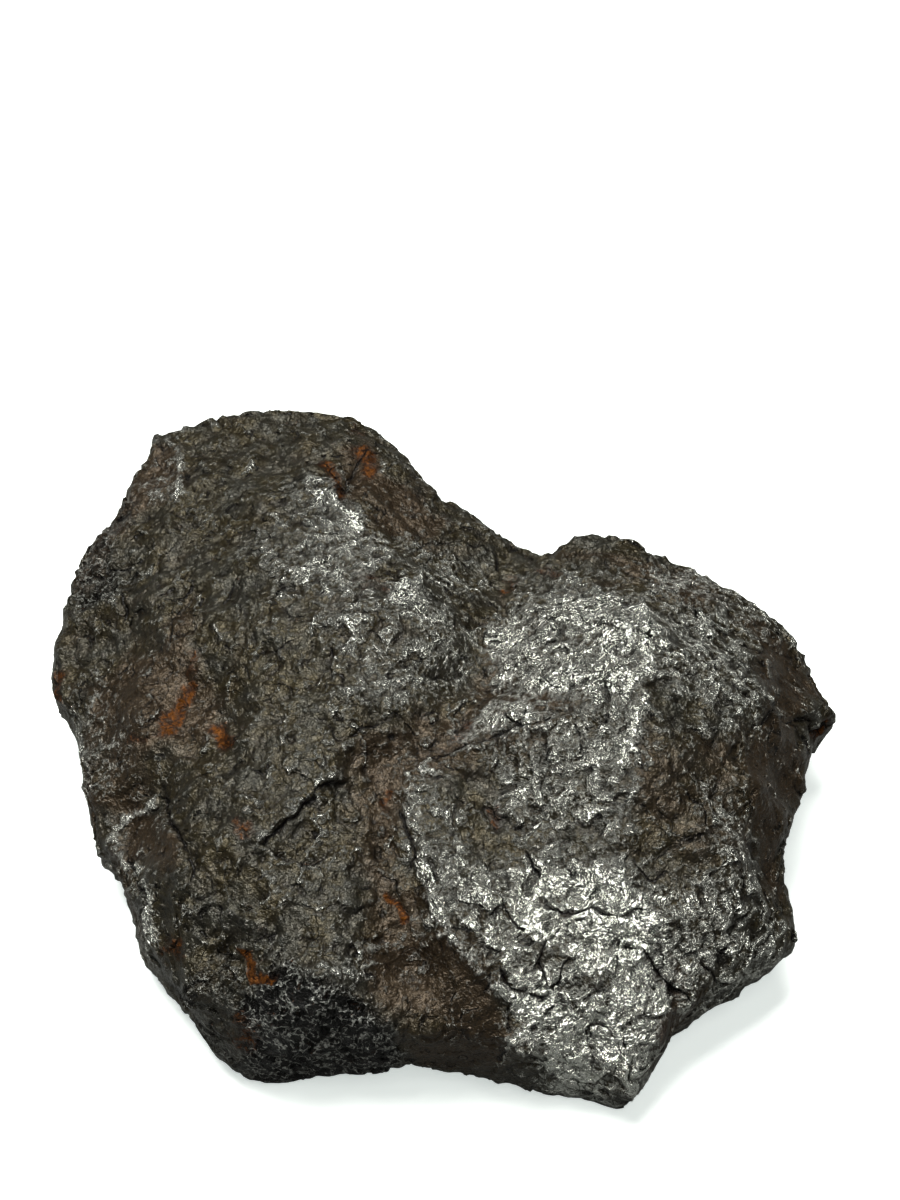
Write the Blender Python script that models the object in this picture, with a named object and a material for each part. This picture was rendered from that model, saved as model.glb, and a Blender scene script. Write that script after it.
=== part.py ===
"""An iron meteorite: a two-lobed slab of iron, scooped by hollows, lying on its broad underside.

The stone is one closed solid. A cube with its faces cut into cells is carried onto the stone: each
point has a bearing round the middle and a place on the way from the middle of the top, over the rim,
to the middle of the underside. The rim, the heights of the top and the rise of the underside are
given below as a surveyor would note them, in millimetres, with +X to the right and +Y to the back.
"""

import bmesh
import bpy
import numpy as np

MM = 0.001

# Cells along the cube's sides: across the top, and over the rim.
CELLS_ACROSS = 41
CELLS_OVER_RIM = 9

# Thumbprints all over, and lumps between them: how far apart the hollows are, and how deep.
THUMBPRINT_PITCH = 15.0
THUMBPRINT_DEPTH = 2.2
THUMBPRINT_DEPTH_ON_TOP = 1.7
LUMP_PITCH = 7.5
LUMP_DEPTH = 0.7
# A hollow reaches this many pitches, and the share of its depth at which the skin stays where it was.
HOLLOW_REACH = 0.9
LEVEL = 0.45
# The hollows stray from round: how far, and over what distance that changes.
DRIFT_PITCH = 12.0
DRIFT = 4.0
# Soft swells, and finer ones of half their pitch and half their height.
SWELL_PITCH = 9.0
SWELL_HEIGHT = 0.8
# All this is weaker at the rim: its share there, and how far in from the rim it is at its full.
RIM_SHARE = 0.3
RIM_BAND = 0.5

# How far a hollow's middle may stray across its cell, and the numbers that scatter the middles.
STRAY = 0.7
FIRST_CELL = 4096
CELL_PRIMES = (73856093, 19349663, 83492791)
SEED_PRIME = 2654435761
MIXING_PRIMES = (40503, 69069, 94561)
MIXING_SHIFT = 13
BIGGEST_NUMBER = 2 ** 32

# How square the rim is: 2 is an ellipse, and a high number is a sheer wall.
FRONT_SQUARENESS = 8.0
BACK_SQUARENESS = 3.0
UNDER_SQUARENESS = 3.0

# The rim seen from above, anticlockwise from the east spur: x, y and the rim's height.
EAST_RIM = [
    (67, 15, 15), (65, 19, 16), (63, 26.5, 17), (59.8, 31.4, 18), (55.7, 33.6, 20),
    (49.8, 36.4, 22.5), (44.2, 39.2, 25), (38, 40.6, 27.5), (32, 42.6, 29), (28, 43.8, 30),
    (25, 44, 28), (22, 42.3, 24), (18.8, 41.6, 21),
]
NORTH_RIM = [
    (15.7, 44.4, 22), (11.8, 48.5, 23), (7, 52, 24), (2, 54, 25), (-3, 60, 26), (-6.8, 66.6, 27),
    (-9.8, 69.6, 28), (-14, 72.4, 29.5), (-20, 73.2, 30.5), (-27, 73, 30.5), (-34, 72.8, 29),
    (-42, 72.6, 26), (-50, 71, 26),
]
WEST_RIM = [
    (-50.4, 65.2, 25), (-55, 53, 23), (-59, 46, 21), (-61, 39, 20), (-62, 32, 19), (-64, 26, 18),
    (-63, 21, 17), (-58, 11, 16), (-55, -1, 14), (-53, -9, 12), (-49.4, -11.8, 11), (-46.4, -19.7, 9),
    (-42.8, -28.4, 8), (-37.4, -35.4, 8), (-32, -41.3, 7), (-29, -43.7, 6),
]
SOUTH_RIM = [
    (-24, -45, 5), (-19, -45.3, 8), (-13, -45.8, 10), (-3, -45.3, 12), (5, -45, 11), (12, -46, 9),
    (20, -47, 8), (26, -48.5, 8), (30.2, -50.2, 8), (34.6, -43.6, 9), (37, -40, 11), (43, -35, 12),
    (48.6, -31.6, 13), (52.9, -29.8, 13), (56.8, -25.9, 13), (55.6, -19, 13), (55.4, -11, 13),
    (58, -4, 13), (59, 2, 14), (61, 5, 14), (63, 11, 14),
]
RIM = EAST_RIM + NORTH_RIM + WEST_RIM + SOUTH_RIM
# Bearings over which the rim's height, and its corners away from the rim, are averaged.
RIM_SMOOTHING = np.radians([-6, -3, 0, 3, 6])
CORNER_SOFTENING = np.radians([-16, -8, 0, 8, 16])

# Spot heights of the top: x, y and height.
LEFT_SPINE = [(-22, 52, 37), (-19, 47, 38), (-15, 45, 37), (-25, 33, 39), (-23, 19, 40), (-16, 29, 39)]
NORTH_CORNER = [(-46, 58, 30), (-37, 56, 33), (-31, 62, 33)]
WEST_SLOPE = [
    (-42, 36, 32), (-50, 31, 28), (-55, 25, 25), (-34, 16, 35), (-45, 6, 30), (-39, 8, 29),
    (-33, 0, 31), (-51, 5, 25),
]
DOME = [(-5, 18, 42), (-5, 8, 40), (-14, 11, 40), (4, 16, 38), (-12, 1, 38), (-2, 1, 36)]
BACK_SLOPE = [(-2, 44, 33), (7, 37, 31), (13, 32, 29), (-14, 54, 35)]
VALLEY = [
    (12, 24, 31), (9, 18, 32), (7, 10, 33), (5, 1, 33), (-2, -5, 33), (-6, -12, 31), (-6, -20, 29),
    (-5, -28, 26), (-2, -36, 21),
]
LOWER_LEFT = [
    (-20, -3, 37), (-27, -11, 34), (-19, -19, 33), (-34, -12, 31), (-44, -7, 23), (-47, -10, 20),
    (-47, -14, 20), (-43.5, -16, 24), (-41, -12, 26), (-38, -22, 29), (-29, -26, 30), (-19, -29, 30),
    (-12, -21, 31), (-11, -33, 27),
]
FRONT_LEFT = [(-32, -35, 24), (-26, -34, 28), (-24, -40, 27), (-16, -42, 28), (-8, -39, 24)]
RIGHT_CREST = [
    (28, 33, 34), (33, 14, 42), (21, 24, 36), (25, 7, 41), (35, 4, 42), (32, -5, 41), (28, -15, 37),
    (16, 16, 36),
]
BACK_BAND = [(44, 28, 32), (53, 22, 29), (44, 8, 39), (51, 6, 36.5), (59.5, 11, 25)]
CROSS_RIDGE = [(3, -5, 34), (9, -4, 37), (19, -2, 40), (14, 4, 38)]
BOWL_LIP = [
    (-3, -12, 33), (-1, -22, 32), (1, -29, 30), (4, -35, 28), (8, -39, 26), (13, -43, 22), (19, -47, 17),
]
BOWL = [
    (8, -12, 32), (11, -20, 29), (20, -16, 32), (17, -25, 28), (25, -29, 29), (13, -33, 26),
    (20, -33, 27), (25, -40, 25), (22, -46, 19), (28, -48, 18), (31, -42, 23),
]
EAST_FACE = [
    (34, -13, 37), (35, -22, 32), (32, -32, 29), (40, -20, 34), (50.5, -9, 34), (45, -13, 33.5),
    (47.5, -22, 30.5), (40, -29, 29), (50, -28, 22), (43, -34, 22), (37, -38, 21), (56, -4, 23),
    (53.5, -20, 21),
]
TOP_SPOTS = (
    LEFT_SPINE + NORTH_CORNER + WEST_SLOPE + DOME + BACK_SLOPE + VALLEY + LOWER_LEFT + FRONT_LEFT
    + RIGHT_CREST + BACK_BAND + CROSS_RIDGE + BOWL_LIP + BOWL + EAST_FACE
)

# Spot heights of the underside. What falls below nothing is worn flat by what the stone lies on.
FEET = [(-26, -38, -7), (28, -40, -9), (-30, 40, -5), (-10, 30, -4), (12, 26, -5), (34, 20, -4)]
UNDER_HOLLOWS = [
    (0, -30, 8), (-2, -8, 4), (-38, 0, 5), (44, -8, 6), (-30, 62, 4), (16, 2, 3), (-24, 16, 1),
]
UNDER_SPOTS = FEET + UNDER_HOLLOWS
# A spot's tip is rounded over the blend, and the surface may miss its height by about the slack.
SPOT_BLEND = 1.5
SPOT_SLACK = 0.5
# Above this height all the relief is there, and it fades to none at the feet.
FOOT_MARGIN = 3.0

IRON_COLOUR = (0.055, 0.048, 0.042, 1)
IRON_METALLIC = 0.8
IRON_ROUGHNESS = 0.45


def along_rim(bearing, values, turns):
    """The mean of a value given at the rim's points, taken at each bearing and turned from it."""
    points = np.array(RIM, dtype=float)
    at = np.arctan2(points[:, 1], points[:, 0])
    return sum(np.interp(bearing + turn, at, values, period=2 * np.pi) for turn in turns) / len(turns)


def outline(bearing, away):
    """Radius and height of the rim: its corners are sharp at the rim, and soften away from it."""
    points = np.array(RIM, dtype=float)
    reach = np.hypot(points[:, 0], points[:, 1])
    sharp = along_rim(bearing, reach, [0])
    soft = along_rim(bearing, reach, CORNER_SOFTENING)
    height = along_rim(bearing, points[:, 2], RIM_SMOOTHING)
    return sharp + (soft - sharp) * away ** 2, height


def spot_weights(spots):
    """Weights that carry a smooth surface through the spot heights, to within the slack."""
    points = np.array(spots, dtype=float)
    gap = np.hypot(points[:, None, 0] - points[None, :, 0], points[:, None, 1] - points[None, :, 1])
    kernel = -np.sqrt(gap ** 2 + SPOT_BLEND ** 2) + SPOT_SLACK * np.eye(len(points))
    plane = np.column_stack([np.ones(len(points)), points[:, :2]])
    system = np.block([[kernel, plane], [plane.T, np.zeros((3, 3))]])
    return np.linalg.solve(system, np.concatenate([points[:, 2], np.zeros(3)]))


def spot_surface(x, y, spots):
    """A plane plus a rounded cone at each spot, which pass through the spot heights."""
    weights = spot_weights(spots)
    height = weights[-3] + weights[-2] * x + weights[-1] * y
    for weight, (spot_x, spot_y, _) in zip(weights, spots):
        height = height - weight * np.sqrt((x - spot_x) ** 2 + (y - spot_y) ** 2 + SPOT_BLEND ** 2)
    return height


def carry_onto_stone(directions):
    """Directions from the middle of a ball, carried onto the stone's surface, in millimetres.

    Also how far each point is from the rim: 0 there, and 1 at the middles of the top and underside.
    """
    bearing = np.arctan2(directions[:, 1], directions[:, 0])
    flat = np.hypot(directions[:, 0], directions[:, 1])
    steep = np.abs(directions[:, 2])
    above = directions[:, 2] > 0
    to_back = 0.5 + 0.5 * np.sin(bearing)
    top_squareness = FRONT_SQUARENESS + (BACK_SQUARENESS - FRONT_SQUARENESS) * to_back
    power = np.where(above, top_squareness, UNDER_SQUARENESS)
    size = (flat ** power + steep ** power) ** (1 / power)
    away = steep / size
    radius, rim = outline(bearing, away)
    x = radius * flat / size * np.cos(bearing)
    y = radius * flat / size * np.sin(bearing)
    top = spot_surface(x, y, TOP_SPOTS)
    under = spot_surface(x, y, UNDER_SPOTS)
    z = rim + (np.where(above, top, under) - rim) * away
    return np.column_stack([x, y, np.maximum(z, 0)]), away


def scattered(cells, seed):
    """Three repeatable numbers from 0 to 1 for each whole-numbered cell."""
    x, y, z = (cells + FIRST_CELL).astype(np.uint64).T
    mixed = (x * CELL_PRIMES[0]) ^ (y * CELL_PRIMES[1]) ^ (z * CELL_PRIMES[2])
    mixed ^= np.uint64(seed * SEED_PRIME)
    numbers = []
    for prime in MIXING_PRIMES:
        mixed = (mixed ^ (mixed >> np.uint64(MIXING_SHIFT))) * np.uint64(prime)
        mixed %= np.uint64(BIGGEST_NUMBER)
        numbers.append(mixed / BIGGEST_NUMBER)
    return np.column_stack(numbers)


def nearest_centre(points, pitch, seed):
    """How far each point is from the nearest of the scattered centres, in pitches."""
    places = points / pitch
    cells = np.floor(places)
    nearest = np.full(len(points), np.inf)
    for step in np.ndindex(3, 3, 3):
        cell = cells + np.array(step) - 1
        centre = cell + 0.5 + STRAY * (scattered(cell, seed) - 0.5)
        nearest = np.minimum(nearest, np.linalg.norm(places - centre, axis=1))
    return nearest


def hollows(points, pitch, seed):
    """Round hollows that meet in crisp edges: 1 at their middles, and 0 well away from them."""
    return np.clip(1 - (nearest_centre(points, pitch, seed) / HOLLOW_REACH) ** 2, 0, 1)


def waves(points, pitch, seed):
    """Smooth random swells from -1 to 1: one number at each corner of a lattice, blended between."""
    places = points / pitch
    cells = np.floor(places)
    part = places - cells
    part = part * part * (3 - 2 * part)
    total = np.zeros(len(points))
    for corner in np.ndindex(2, 2, 2):
        share = np.prod(np.where(corner, part, 1 - part), axis=1)
        total += share * scattered(cells + np.array(corner), seed)[:, 0]
    return 2 * total - 1


def weather(points, normals, away):
    """The stone with its thumbprints and lumps, which stop short of the rim and the worn feet."""
    drift = np.column_stack([waves(points, DRIFT_PITCH, seed) for seed in (11, 12, 13)])
    wandering = points + DRIFT * drift
    facing_up = np.clip(normals[:, 2], 0, 1)
    depth = THUMBPRINT_DEPTH + (THUMBPRINT_DEPTH_ON_TOP - THUMBPRINT_DEPTH) * facing_up
    sunk = depth * (hollows(wandering, THUMBPRINT_PITCH, 1) - LEVEL)
    sunk += LUMP_DEPTH * (hollows(wandering, LUMP_PITCH, 2) - LEVEL)
    sunk += SWELL_HEIGHT * (waves(points, SWELL_PITCH, 3) + 0.5 * waves(points, SWELL_PITCH / 2, 4))
    sunk *= RIM_SHARE + (1 - RIM_SHARE) * np.clip(away / RIM_BAND, 0, 1)
    sunk *= np.clip(points[:, 2] / FOOT_MARGIN, 0, 1)
    worn = points - normals * sunk[:, None]
    worn[:, 2] = np.maximum(worn[:, 2], 0)
    return worn


def cut_cube():
    """A cube whose faces are cut into cells, as a mesh."""
    mesh = bmesh.new()
    bmesh.ops.create_cube(mesh, size=2.0)
    for axis, cells in enumerate([CELLS_ACROSS, CELLS_ACROSS, CELLS_OVER_RIM]):
        along = [
            edge for edge in mesh.edges
            if abs(edge.verts[0].co[axis] - edge.verts[1].co[axis]) > 1.0
        ]
        bmesh.ops.subdivide_edges(mesh, edges=along, cuts=cells - 1, use_grid_fill=True)
    return mesh


def iron_material():
    """Dark oxidised iron."""
    material = bpy.data.materials.new("meteoritic_iron")
    material.use_nodes = True
    shader = material.node_tree.nodes["Principled BSDF"]
    shader.inputs["Base Color"].default_value = IRON_COLOUR
    shader.inputs["Metallic"].default_value = IRON_METALLIC
    shader.inputs["Roughness"].default_value = IRON_ROUGHNESS
    return material


def read_points(mesh, what):
    values = np.empty(len(mesh.vertices) * 3)
    mesh.vertices.foreach_get(what, values)
    return values.reshape(-1, 3)


def make_meteorite():
    """The cut cube, rounded to a ball, carried onto the stone and weathered."""
    cube = cut_cube()
    mesh = bpy.data.meshes.new("meteorite")
    cube.to_mesh(mesh)
    cube.free()
    spread = np.tan(read_points(mesh, "co") * np.pi / 4)
    smooth, away = carry_onto_stone(spread / np.linalg.norm(spread, axis=1, keepdims=True))
    mesh.vertices.foreach_set("co", smooth.ravel())
    mesh.update()
    stone = weather(smooth, read_points(mesh, "normal"), away)
    middle = (stone.min(axis=0) + stone.max(axis=0)) / 2
    stone -= [middle[0], middle[1], 0]
    mesh.vertices.foreach_set("co", (stone * MM).ravel())
    mesh.update()
    mesh.materials.append(iron_material())
    return bpy.data.objects.new("meteorite", mesh)


def main():
    for thing in list(bpy.data.objects):
        bpy.data.objects.remove(thing)
    group = bpy.data.collections.new("meteorite")
    bpy.context.scene.collection.children.link(group)
    group.objects.link(make_meteorite())


main()
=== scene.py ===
"""An iron meteorite lying on a pale table under soft studio light.

The stone's form comes from the same survey as its solid: a rim, spot heights of the top and of the
underside, and thumbprints. Here it is worked out on a fine grid, and then gets the flakes, cracks,
pits, wrinkles and hammered skin that are too small for the solid. Sizes are in millimetres unless a
name says otherwise, +X to the right, +Y to the back and +Z up.
"""

import math

import bpy
import numpy as np
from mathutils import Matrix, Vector


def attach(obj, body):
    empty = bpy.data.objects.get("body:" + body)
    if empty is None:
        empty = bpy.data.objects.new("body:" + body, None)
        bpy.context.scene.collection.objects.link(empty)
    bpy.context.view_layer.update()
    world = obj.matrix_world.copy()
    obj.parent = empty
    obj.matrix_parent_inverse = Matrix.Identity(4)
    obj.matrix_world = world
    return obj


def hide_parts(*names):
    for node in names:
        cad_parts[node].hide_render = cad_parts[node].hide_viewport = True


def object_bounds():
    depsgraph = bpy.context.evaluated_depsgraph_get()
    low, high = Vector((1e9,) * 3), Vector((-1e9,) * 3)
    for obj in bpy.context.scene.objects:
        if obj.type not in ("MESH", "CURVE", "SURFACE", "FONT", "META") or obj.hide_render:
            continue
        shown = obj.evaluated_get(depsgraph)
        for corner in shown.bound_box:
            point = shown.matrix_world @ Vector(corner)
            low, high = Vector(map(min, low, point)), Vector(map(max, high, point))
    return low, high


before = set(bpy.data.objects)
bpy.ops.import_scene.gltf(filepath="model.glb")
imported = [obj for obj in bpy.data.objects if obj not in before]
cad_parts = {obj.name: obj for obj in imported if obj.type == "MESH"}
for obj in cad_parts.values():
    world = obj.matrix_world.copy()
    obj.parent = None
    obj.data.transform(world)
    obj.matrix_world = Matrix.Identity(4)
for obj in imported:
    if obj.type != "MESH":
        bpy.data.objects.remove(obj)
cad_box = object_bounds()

MM = 0.001

# Grid cells along the cube's sides: across the top, and over the rim. The underside's are twice as wide.
CELLS_ACROSS = 216
CELLS_OVER_RIM = 46
# Below 1, the rows over the rim lie closer towards the top.
ROW_CROWDING = 0.62

# ---- The stone's form, as in its solid.

# Thumbprints all over, and lumps between them: how far apart the hollows are, and how deep.
THUMBPRINT_PITCH = 15.0
THUMBPRINT_DEPTH = 2.2
THUMBPRINT_DEPTH_ON_TOP = 1.7
LUMP_PITCH = 7.5
LUMP_DEPTH = 0.7
# A hollow reaches this many pitches, and the share of its depth at which the skin stays where it was.
HOLLOW_REACH = 0.9
LEVEL = 0.45
# The hollows stray from round: how far, and over what distance that changes.
DRIFT_PITCH = 12.0
DRIFT = 4.0
# Soft swells, and finer ones of half their pitch and half their height.
SWELL_PITCH = 9.0
SWELL_HEIGHT = 0.8
# All this is weaker at the rim: its share there, and how far in from the rim it is at its full.
RIM_SHARE = 0.3
RIM_BAND = 0.5

# How far a hollow's middle may stray across its cell, and the numbers that scatter the middles.
STRAY = 0.7
FIRST_CELL = 4096
CELL_PRIMES = (73856093, 19349663, 83492791)
SEED_PRIME = 2654435761
MIXING_PRIMES = (40503, 69069, 94561)
MIXING_SHIFT = 13
BIGGEST_NUMBER = 2 ** 32

# How square the rim is: 2 is an ellipse, and a high number is a sheer wall.
FRONT_SQUARENESS = 8.0
BACK_SQUARENESS = 3.0
UNDER_SQUARENESS = 3.0

# The rim seen from above, anticlockwise from the east spur: x, y and the rim's height.
EAST_RIM = [
    (67, 15, 15), (65, 19, 16), (63, 26.5, 17), (59.8, 31.4, 18), (55.7, 33.6, 20),
    (49.8, 36.4, 22.5), (44.2, 39.2, 25), (38, 40.6, 27.5), (32, 42.6, 29), (28, 43.8, 30),
    (25, 44, 28), (22, 42.3, 24), (18.8, 41.6, 21),
]
NORTH_RIM = [
    (15.7, 44.4, 22), (11.8, 48.5, 23), (7, 52, 24), (2, 54, 25), (-3, 60, 26), (-6.8, 66.6, 27),
    (-9.8, 69.6, 28), (-14, 72.4, 29.5), (-20, 73.2, 30.5), (-27, 73, 30.5), (-34, 72.8, 29),
    (-42, 72.6, 26), (-50, 71, 26),
]
WEST_RIM = [
    (-50.4, 65.2, 25), (-55, 53, 23), (-59, 46, 21), (-61, 39, 20), (-62, 32, 19), (-64, 26, 18),
    (-63, 21, 17), (-58, 11, 16), (-55, -1, 14), (-53, -9, 12), (-49.4, -11.8, 11), (-46.4, -19.7, 9),
    (-42.8, -28.4, 8), (-37.4, -35.4, 8), (-32, -41.3, 7), (-29, -43.7, 6),
]
SOUTH_RIM = [
    (-24, -45, 5), (-19, -45.3, 8), (-13, -45.8, 10), (-3, -45.3, 12), (5, -45, 11), (12, -46, 9),
    (20, -47, 8), (26, -48.5, 8), (30.2, -50.2, 8), (34.6, -43.6, 9), (37, -40, 11), (43, -35, 12),
    (48.6, -31.6, 13), (52.9, -29.8, 13), (56.8, -25.9, 13), (55.6, -19, 13), (55.4, -11, 13),
    (58, -4, 13), (59, 2, 14), (61, 5, 14), (63, 11, 14),
]
RIM = EAST_RIM + NORTH_RIM + WEST_RIM + SOUTH_RIM
# Bearings over which the rim's height, and its corners away from the rim, are averaged.
RIM_SMOOTHING = np.radians([-6, -3, 0, 3, 6])
CORNER_SOFTENING = np.radians([-16, -8, 0, 8, 16])

# Spot heights of the top: x, y and height.
LEFT_SPINE = [(-22, 52, 37), (-19, 47, 38), (-15, 45, 37), (-25, 33, 39), (-23, 19, 40), (-16, 29, 39)]
NORTH_CORNER = [(-46, 58, 30), (-37, 56, 33), (-31, 62, 33)]
WEST_SLOPE = [
    (-42, 36, 32), (-50, 31, 28), (-55, 25, 25), (-34, 16, 35), (-45, 6, 30), (-39, 8, 29),
    (-33, 0, 31), (-51, 5, 25),
]
DOME = [(-5, 18, 42), (-5, 8, 40), (-14, 11, 40), (4, 16, 38), (-12, 1, 38), (-2, 1, 36)]
BACK_SLOPE = [(-2, 44, 33), (7, 37, 31), (13, 32, 29), (-14, 54, 35)]
VALLEY = [
    (12, 24, 31), (9, 18, 32), (7, 10, 33), (5, 1, 33), (-2, -5, 33), (-6, -12, 31), (-6, -20, 29),
    (-5, -28, 26), (-2, -36, 21),
]
LOWER_LEFT = [
    (-20, -3, 37), (-27, -11, 34), (-19, -19, 33), (-34, -12, 31), (-44, -7, 23), (-47, -10, 20),
    (-47, -14, 20), (-43.5, -16, 24), (-41, -12, 26), (-38, -22, 29), (-29, -26, 30), (-19, -29, 30),
    (-12, -21, 31), (-11, -33, 27),
]
FRONT_LEFT = [(-32, -35, 24), (-26, -34, 28), (-24, -40, 27), (-16, -42, 28), (-8, -39, 24)]
RIGHT_CREST = [
    (28, 33, 34), (33, 14, 42), (21, 24, 36), (25, 7, 41), (35, 4, 42), (32, -5, 41), (28, -15, 37),
    (16, 16, 36),
]
BACK_BAND = [(44, 28, 32), (53, 22, 29), (44, 8, 39), (51, 6, 36.5), (59.5, 11, 25)]
CROSS_RIDGE = [(3, -5, 34), (9, -4, 37), (19, -2, 40), (14, 4, 38)]
BOWL_LIP = [
    (-3, -12, 33), (-1, -22, 32), (1, -29, 30), (4, -35, 28), (8, -39, 26), (13, -43, 22), (19, -47, 17),
]
BOWL = [
    (8, -12, 32), (11, -20, 29), (20, -16, 32), (17, -25, 28), (25, -29, 29), (13, -33, 26),
    (20, -33, 27), (25, -40, 25), (22, -46, 19), (28, -48, 18), (31, -42, 23),
]
EAST_FACE = [
    (34, -13, 37), (35, -22, 32), (32, -32, 29), (40, -20, 34), (50.5, -9, 34), (45, -13, 33.5),
    (47.5, -22, 30.5), (40, -29, 29), (50, -28, 22), (43, -34, 22), (37, -38, 21), (56, -4, 23),
    (53.5, -20, 21),
]
TOP_SPOTS = (
    LEFT_SPINE + NORTH_CORNER + WEST_SLOPE + DOME + BACK_SLOPE + VALLEY + LOWER_LEFT + FRONT_LEFT
    + RIGHT_CREST + BACK_BAND + CROSS_RIDGE + BOWL_LIP + BOWL + EAST_FACE
)

# Spot heights of the underside. What falls below nothing is worn flat by what the stone lies on.
FEET = [(-26, -38, -7), (28, -40, -9), (-30, 40, -5), (-10, 30, -4), (12, 26, -5), (34, 20, -4)]
UNDER_HOLLOWS = [
    (0, -30, 8), (-2, -8, 4), (-38, 0, 5), (44, -8, 6), (-30, 62, 4), (16, 2, 3), (-24, 16, 1),
]
UNDER_SPOTS = FEET + UNDER_HOLLOWS
# A spot's tip is rounded over the blend, and the surface may miss its height by about the slack.
SPOT_BLEND = 1.5
SPOT_SLACK = 0.5
# Above this height all the relief is there, and it fades to none at the feet.
FOOT_MARGIN = 3.0

# ---- Relief that only the fine surface carries.

# Flakes in two sizes: how far apart the swells are that they are cut from, the steps cut into a
# swell, how high a step is, and the seed of its swells.
FLAKES = (6.5, 1.5, 0.95, 21)
SCALES = (3.0, 1.3, 0.34, 26)
# The share of swells of half the pitch in them.
FINER_SWELLS = 0.6
# The share of a step at which its rise starts, and those of the thin lines at its foot and crest.
FLAKE_FOOT = 0.84
LEDGE_FOOT = 0.88
LEDGE_CREST = 0.98
# Round dents and dimples, and crumbled swells: how far apart, how deep or high, and the seed.
DENTS = (3.4, 0.5, 23)
DIMPLES = (1.8, 0.16, 24)
CRUMBS = (2.6, 0.15, 25)
# Swells that shift flakes, patches and lines: their pitch and reach, and a seed for each axis.
FLAKE_DRIFTS = ((5.0, 2.0, (31, 32, 33)), (2.0, 0.6, (34, 35, 36)))
PATCH_DRIFTS = ((7.0, 4.0, (41, 42)), (2.5, 1.5, (41, 42)))
LINE_DRIFTS = ((2.6, 0.8, (43, 44)), (1.2, 0.4, (45, 46)))
# The fine relief's share on upright faces, and how much less of it there is on brown skin.
WALL_SHARE = 0.6
SMOOTHING = 0.35
# How far up a face has to look, from none to all, for what lies on top, and for what goes down walls.
TOP_TILT = (-0.1, 0.25)
UPPER_TILT = (-0.4, -0.1)

# Cracks: a line of points seen from above, how deep it is, and how high the ledge on its left stands.
CRACKS = [
    ([(-17.5, 55.5), (-16.5, 51.5), (-14.5, 50.5), (-13.5, 55.5), (-11.5, 60)], 0.5, 0.4),
    ([(6, 28.5), (4.5, 28.5), (2.5, 27.5), (0.5, 28.5), (0, 35.5), (-2, 39)], 0.4, 0.5),
    ([(11.5, 36), (11, 40), (8.5, 41.5), (4, 41), (0, 40.5), (-2.5, 37)], 0.3, 0.4),
    ([(4.5, 39.5), (5, 37.5), (6, 36.5)], 0.3, 0.2),
    ([(-9.5, 46), (-8, 44.5)], 0.4, 0.3),
    ([(-50.5, 27.5), (-50.5, 31.5)], 0.8, 0.5),
    ([(-59.5, 39), (-55.5, 38.5), (-52.5, 39.5), (-49, 40)], 0.6, 0.6),
    ([(-42, 19.5), (-42, 21), (-42, 23.5), (-41, 25)], 0.4, 0.4),
    ([(-42.5, 28), (-40, 28), (-39, 29), (-39.5, 31)], 0.5, 0.5),
    ([(-37, 34), (-36, 35), (-34, 34.5)], 0.3, 0.3),
    ([(-34.5, 24), (-32.5, 25), (-31.5, 28)], 0.4, 0.4),
    ([(-26, 12), (-24, 12.5), (-22, 13.5)], 0.4, 0.4),
    ([(-15, 11.5), (-15.5, 8), (-14, 5.5)], 0.4, 0.5),
    ([(-8, -2), (-11.5, -3.5), (-13.5, -4.5), (-15.5, -3)], 0.5, 0.7),
    ([(-26, -9.5), (-28, -8.5), (-30.5, -8)], 0.4, 0.4),
    ([(-24, -20.5), (-22, -19), (-20.5, -16.5), (-18, -14), (-17, -12.5), (-15, -11)], 0.5, 1.2),
    ([(-15.5, -22), (-18, -23.5), (-22, -22.5), (-24, -20.5)], 0.5, 0.9),
    ([(-35.5, -24.5), (-36, -19.5), (-38, -16.5), (-41, -10.5), (-41.5, -6.5)], 0.6, 0.9),
    ([(-42, -23.5), (-45, -18.5), (-46, -15)], 0.6, 0.6),
    ([(-2.5, -23.5), (-3, -18.5), (-4, -16.5), (-4.5, -13.5)], 0.6, 0.3),
    ([(18, -2.5), (15.5, -2.5), (11.5, -3), (7, -3.5), (3, -4.5), (-0.5, -5.5)], 0.4, 0.8),
    ([(11.5, 0.5), (12, -1.5), (14, -2.5)], 0.5, 0.5),
    ([(14, -20.5), (15, -22.5), (16.5, -24)], 0.5, 0.4),
    ([(26.5, -31), (24.5, -29.5), (22.5, -30), (20, -29.5), (17.5, -28)], 0.5, 0.5),
    ([(19.5, -31), (17, -33.5), (17, -37), (18.5, -39), (21, -36.5)], 0.5, 0.6),
    ([(11, -38), (12.5, -39.5), (16, -40.5), (18.5, -39.5)], 0.4, 0.6),
    ([(11, -29), (12, -30), (14, -31.5), (13, -33.5)], 0.3, 0.4),
    ([(29, -34.5), (32.5, -35.5), (35, -37.5), (38.5, -38)], 0.4, 0.4),
    ([(35, -24.5), (33.5, -26), (31.5, -24.5), (31, -23.5)], 0.5, 0.4),
    ([(42.5, -18.5), (41, -15.5), (38.5, -13.5)], 0.5, 0.6),
    ([(42.5, -35), (40.5, -34)], 0.5, 0.4),
    ([(47.5, -25.5), (46.5, -23)], 0.5, 0.4),
    ([(51.5, 2.5), (57.5, 9), (61.5, 11.5), (65.5, 13.5)], 0.6, 0.7),
]
# Half a crack's width, where the ledge beside it rises, and how far on that falls off.
GROOVE_HALF = 0.55
LEDGE_RISE = (-0.1, 0.6)
LEDGE_WIDTH = 2.5
# How far off a crack's fine line ends, over what distance, and from what depth it is darkest.
CRACK_REACH = 1.4
CRACK_FADE = 0.5
DARK_CRACK = 0.3

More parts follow.
